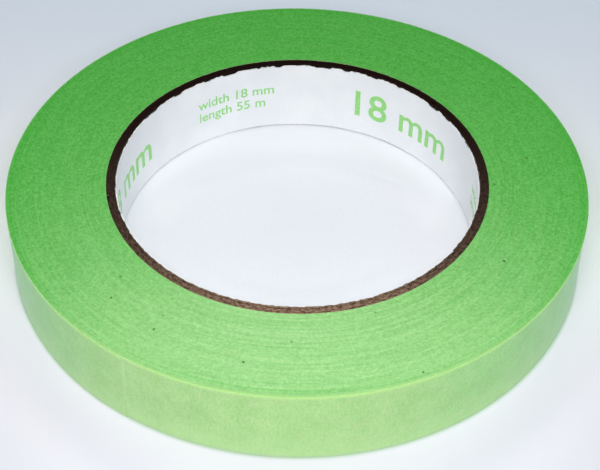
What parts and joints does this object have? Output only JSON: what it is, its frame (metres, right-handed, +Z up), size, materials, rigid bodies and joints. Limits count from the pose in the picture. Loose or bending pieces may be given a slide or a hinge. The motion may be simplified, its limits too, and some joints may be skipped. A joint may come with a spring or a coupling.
{
  "type": "masking tape roll",
  "caption": "Roll of green crepe paper masking tape wound on a spiral-laid chipboard core with a white paper liner, lying flat, with a free end that peels off.",
  "frame": {"origin": "on the axis of the core, at the level of the lower face, which lies on the table", "axes": "+Z up along the core's axis, -Y towards the side that the picture is taken from, +X to its right"},
  "size_m": [0.1243, 0.1243, 0.018],
  "materials": {
    "tape": "satin",
    "core_board": "matte",
    "liner_paper": "satin"
  },
  "bodies": {
    "roll": {"core_liner": "liner_paper", "core_ply_1": "core_board", "core_ply_2": "core_board", "core_ply_3": "core_board", "core_ply_4": "core_board", "tape_pack": "tape", "outer_turn": "tape"},
    "tape_end_1": {"tape_end_1": "tape"},
    "tape_end_2": {"tape_end_2": "tape"},
    "tape_end_3": {"tape_end_3": "tape"}
  },
  "joints": [
    {"name": "peel_1", "type": "hinge", "parent": "roll", "child": "tape_end_1", "pos_m": [-0.05214, -0.03405, 0.009], "axis": [0, 0, -1], "range_deg": [0, 40]},
    {"name": "peel_2", "type": "hinge", "parent": "tape_end_1", "child": "tape_end_2", "pos_m": [-0.04669, -0.04121, 0.009], "axis": [0, 0, -1], "range_deg": [0, 40]},
    {"name": "peel_3", "type": "hinge", "parent": "tape_end_2", "child": "tape_end_3", "pos_m": [-0.04026, -0.04751, 0.009], "axis": [0, 0, -1], "range_deg": [0, 40]}
  ],
  "couplings": [
    {"joint": "peel_2", "follows": "peel_1", "ratio": 1},
    {"joint": "peel_3", "follows": "peel_1", "ratio": 1}
  ]
}
